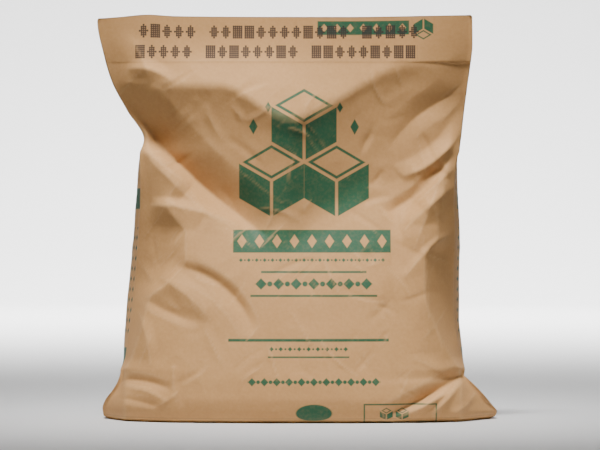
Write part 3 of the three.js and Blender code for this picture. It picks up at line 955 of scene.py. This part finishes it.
def kraft_material():
    """Kraft paper: cloudy, fibrous and rubbed pale on its creases, printed in green and dark grey, with
    painted shade along its top fold and its foot fold.
    """
    recipe = Recipe("kraft_paper")
    x, y = paper_place(recipe)
    objects = recipe.tree.nodes.new("ShaderNodeTexCoord")
    spot = Value(recipe, objects.outputs["Object"])
    wear = recipe.add("ShaderNodeAttribute", {"attribute_name": "wear"}, (), "Fac")

    cloud = recipe.noise(spot, CLOUD_SCALE, detail=4)
    broad = recipe.noise(spot, BROAD_SCALE, detail=3)
    crinkle = recipe.noise(spot, CRINKLE_SCALE, detail=5, roughness=0.6)
    fibre = recipe.noise(recipe.stretched(spot, FIBRE_STRETCH), 1.0, detail=2)
    fleck = recipe.noise(recipe.stretched(spot, FLECK_STRETCH), 1.0, detail=1)

    # The bare paper: clouds from deep to pale brown, evened by fibres, then dark flecks and rubbed creases
    brown = (cloud * BROWN_CLOUD + broad * BROWN_BROAD - BROWN_START).clamped()
    colour = recipe.blend(brown, KRAFT_DEEP, KRAFT_PALE)
    colour = recipe.blend((fibre * BROWN_FIBRE).clamped(), colour, KRAFT)
    specks = ((fleck - FLECK_LEAST) * FLECK_CONTRAST).clamped() * FLECK_STRENGTH
    colour = recipe.blend(specks, colour, SPECK)
    rubbed = (wear * (RUB_LEAST + cloud * RUB_CLOUD)).clamped()
    colour = recipe.blend(rubbed * RUB_STRENGTH, colour, RUBBED_PAPER)

    # The inks cover less on rubbed creases, on flecks and in the paper's thin spots
    side = abs(x).between(*GUSSET_U)
    back = x.above(GUSSET_U[1])
    green = green_print(x, y, side, back)
    thinned = (THIN_SPOT - cloud).clamped() * INK_THINNED
    cover = (INK_COVER - rubbed * INK_RUBBED - specks * INK_FLECKED - thinned).clamped()
    colour = recipe.blend(green * cover, colour, GREEN_INK)
    code = code_print(recipe, x, y) * (1 - back) * (1 - side)
    colour = recipe.blend(code * cover * CODE_STRENGTH, colour, CODE_INK)
    # Painted shade: dark lines along the folded top edge and the fold at the foot stand for their shadow
    folds = painted_fold_shade(y, TOP_FOLD_PAINTED_SHADE).most(painted_fold_shade(y, FOOT_FOLD_PAINTED_SHADE))
    colour = recipe.blend(folds, colour, PAINTED_FOLD_SHADE)

    recipe.feed(recipe.shader.inputs["Base Color"], colour)
    roughness = (PAPER_ROUGHNESS + cloud * ROUGH_CLOUD - green * ROUGH_INK).clamped()
    recipe.feed(recipe.shader.inputs["Roughness"], roughness)
    recipe.shader.inputs["Specular IOR Level"].default_value = PAPER_SPECULAR
    grain = (cloud * GRAIN_CLOUD + fibre * GRAIN_FIBRE + broad * GRAIN_BROAD) * GRAIN_SHARE
    relief = {"Height": grain + crinkle, "Strength": BUMP_STRENGTH, "Distance": BUMP_DISTANCE}
    recipe.feed(recipe.shader.inputs["Normal"], recipe.add("ShaderNodeBump", {}, relief))
    return recipe.material


def floor_material():
    """A pale matt floor with a faint unevenness."""
    recipe = Recipe("pale_floor")
    objects = recipe.tree.nodes.new("ShaderNodeTexCoord")
    cloud = recipe.noise(Value(recipe, objects.outputs["Object"]), FLOOR_SCALE, detail=2)
    colour = recipe.blend(cloud, FLOOR_GREY, FLOOR_WHITE)
    recipe.feed(recipe.shader.inputs["Base Color"], colour)
    recipe.shader.inputs["Roughness"].default_value = FLOOR_ROUGHNESS
    return recipe.material


# The floor, in metres: flat out to a radius, then a quarter circle up to an upright wall
FLOOR_RADIUS = 6.0
FLOOR_MIDDLE = 0.001
SWEEP_RADIUS = 2.0
SWEEP_STEPS = 24
WALL_HEIGHT = 5.0
FLOOR_SIDES = 96


def add_floor():
    """A round floor that sweeps up on all sides: a profile of radius and height, turned round z."""
    bend = np.linspace(0, math.pi / 2, SWEEP_STEPS)
    wall = FLOOR_RADIUS + SWEEP_RADIUS
    radius = np.concatenate(([FLOOR_MIDDLE], FLOOR_RADIUS + SWEEP_RADIUS * np.sin(bend), [wall]))
    height = np.concatenate(([0.0], SWEEP_RADIUS * (1 - np.cos(bend)), [WALL_HEIGHT]))
    turn = np.linspace(0, 2 * math.pi, FLOOR_SIDES, endpoint=False)[:, None]
    level = np.broadcast_to(height, (FLOOR_SIDES, len(height)))
    points = np.stack((radius * np.cos(turn), radius * np.sin(turn), level), axis=-1)
    index = np.arange(points[..., 0].size).reshape(FLOOR_SIDES, -1)
    after = np.roll(index, -1, axis=0)
    faces = np.stack((index[:, :-1], index[:, 1:], after[:, 1:], after[:, :-1]), axis=-1).reshape(-1, 4)
    mesh = bpy.data.meshes.new("floor")
    mesh.from_pydata(points.reshape(-1, 3), [], faces)
    mesh.polygons.foreach_set("use_smooth", np.ones(len(faces), bool))
    mesh.materials.append(floor_material())
    floor = bpy.data.objects.new("floor", mesh)
    bpy.context.scene.collection.objects.link(floor)


# The lights: place and target in metres, size in metres, power in watts and spread in degrees
Lamp = namedtuple("Lamp", "name place target size power spread")
LAMPS = (
    Lamp("key_light", (-0.2, -1.0, 2.6), (0, 0, 0.25), 0.6, 6.4, 36),
    Lamp("backdrop_light", (0, 4.0, 4.4), (0, 5.2, 0), 3.2, 600, 100),
    Lamp("overhead_light", (0, 0, 5.5), (0, 0, 0), 6.0, 36, 140),
)
SURROUND_STRENGTH = 0.02


def add_area_light(lamp):
    """A soft square light that faces its target."""
    data = bpy.data.lights.new(lamp.name, "AREA")
    data.shape = "SQUARE"
    data.size = lamp.size
    data.energy = lamp.power
    data.spread = math.radians(lamp.spread)
    light = bpy.data.objects.new(lamp.name, data)
    bpy.context.scene.collection.objects.link(light)
    light.location = lamp.place
    aim = np.subtract(lamp.target, lamp.place)
    flat = math.hypot(aim[0], aim[1])
    light.rotation_euler = (math.atan2(flat, -aim[2]), 0, math.atan2(aim[1], aim[0]) - math.pi / 2)


def add_lights():
    """A light above and in front of the sack, one behind it, a broad one overhead, and a weak surround."""
    for lamp in LAMPS:
        add_area_light(lamp)
    world = bpy.data.worlds.new("surround")
    bpy.context.scene.world = world
    world.use_nodes = True
    background = world.node_tree.nodes["Background"]
    background.inputs["Color"].default_value = (1, 1, 1, 1)
    background.inputs["Strength"].default_value = SURROUND_STRENGTH


# The camera, level and near the height of the sack's middle: in pixels, millimetres of sensor and metres
FRAME_WIDTH = 600
SENSOR_WIDTH = 36.0
CAMERA_DISTANCE = 4.2
CAMERA_HEIGHT = 0.2245
CAMERA_X = 0.0023
PIXELS_PER_METRE = 861.0


def add_camera():
    """A level camera in front of the sack that shows it at the photograph's size."""
    data = bpy.data.cameras.new("camera")
    data.sensor_width = SENSOR_WIDTH
    data.lens = SENSOR_WIDTH * PIXELS_PER_METRE * CAMERA_DISTANCE / FRAME_WIDTH
    camera = bpy.data.objects.new("camera", data)
    bpy.context.scene.collection.objects.link(camera)
    camera.location = (CAMERA_X, -CAMERA_DISTANCE, CAMERA_HEIGHT)
    camera.rotation_euler = (math.pi / 2, 0, 0)
    bpy.context.scene.camera = camera


def add_sack():
    """The paper sack, which stands for the plain solid of the same name."""
    mesh = sack_mesh()
    mesh.materials.append(kraft_material())
    sack = bpy.data.objects.new("paper_sack", mesh)
    bpy.context.scene.collection.objects.link(sack)
    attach(sack, "root")
    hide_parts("sack")


add_sack()
add_floor()
add_lights()
add_camera()
